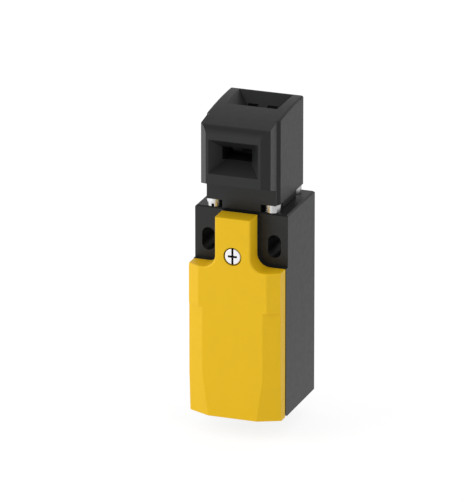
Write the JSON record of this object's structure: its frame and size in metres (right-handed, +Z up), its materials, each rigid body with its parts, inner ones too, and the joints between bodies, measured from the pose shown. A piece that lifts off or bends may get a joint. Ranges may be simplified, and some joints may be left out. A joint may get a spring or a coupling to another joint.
{
  "type": "safety position switch",
  "caption": "Plastic safety position switch for a separate key: black enclosure, yellow screwed cover and a turnable head with key entries at the front and on top.",
  "frame": {"origin": "centre of the overall box in x and y, at the bottom face with the cable entry", "axes": "+Z up from the cable entry to the head, +Y to the mounting face at the back, -Y to the yellow cover, +X to the right seen from the cover"},
  "size_m": [0.031, 0.0338, 0.0989],
  "materials": {
    "black_plastic": "glass-filled, fine satin moulding",
    "yellow_plastic": "satin signal-yellow moulding",
    "seal_rubber": "soft black nitrile",
    "zinc_steel": "bright zinc plate",
    "brass": "turned",
    "contact_metal": "silver-plated copper alloy",
    "spring_steel": "drawn stainless spring steel",
    "shaft_steel": "ground stainless steel",
    "drum_plastic": "low-friction acetal",
    "plunger_plastic": "natural acetal",
    "block_plastic": "grey thermoset",
    "red_plastic": "red acetal"
  },
  "bodies": {
    "enclosure": {"enclosure_body": "black_plastic", "cover_screw_insert": "brass", "head_lock_fork": "spring_steel", "contact_block_base": "block_plastic", "contact_block_lid": "block_plastic", "fixed_contacts": "contact_metal", "terminal_screws": "zinc_steel", "clamp_plates": "zinc_steel"},
    "cover": {"cover": "yellow_plastic", "cover_gasket": "seal_rubber", "cover_screw": "zinc_steel", "cover_screw_seal": "seal_rubber"},
    "head": {"head_housing": "black_plastic", "head_base": "black_plastic", "head_screws": "zinc_steel", "drum_shaft": "shaft_steel", "spigot_ring": "seal_rubber", "plunger_wiper": "seal_rubber"},
    "cam_drum": {"cam_drum": "drum_plastic", "key_disc_left": "drum_plastic", "key_disc_right": "drum_plastic"},
    "plunger": {"head_plunger": "plunger_plastic", "plunger_spring": "spring_steel"},
    "contact_carrier": {"contact_carrier": "red_plastic", "contact_bridges": "contact_metal", "contact_springs": "spring_steel", "carrier_return_spring": "spring_steel"}
  },
  "joints": [
    {"name": "cover_open", "type": "hinge", "parent": "enclosure", "child": "cover", "pos_m": [0, -0.0101, 0.0006], "axis": [1, 0, 0], "range_deg": [0, 75]},
    {"name": "head_turn", "type": "hinge", "parent": "enclosure", "child": "head", "pos_m": [0, 0.0036, 0.067], "axis": [0, 0, 1], "continuous": true},
    {"name": "cam_turn", "type": "hinge", "parent": "head", "child": "cam_drum", "pos_m": [0, 0.0036, 0.081], "axis": [-1, 0, 0], "range_deg": [0, 60]},
    {"name": "plunger_slide", "type": "slide", "parent": "head", "child": "plunger", "axis": [0, 0, 1], "range_m": [0, 0.0021], "deforming": ["plunger_spring"]},
    {"name": "carrier_slide", "type": "slide", "parent": "enclosure", "child": "contact_carrier", "axis": [0, 0, 1], "range_m": [0, 0.0021], "deforming": ["carrier_return_spring"]}
  ],
  "couplings": [
    {"joint": "cam_turn", "follows": "plunger_slide", "rad_per_m": 498.67},
    {"joint": "carrier_slide", "follows": "plunger_slide", "ratio": 1}
  ]
}
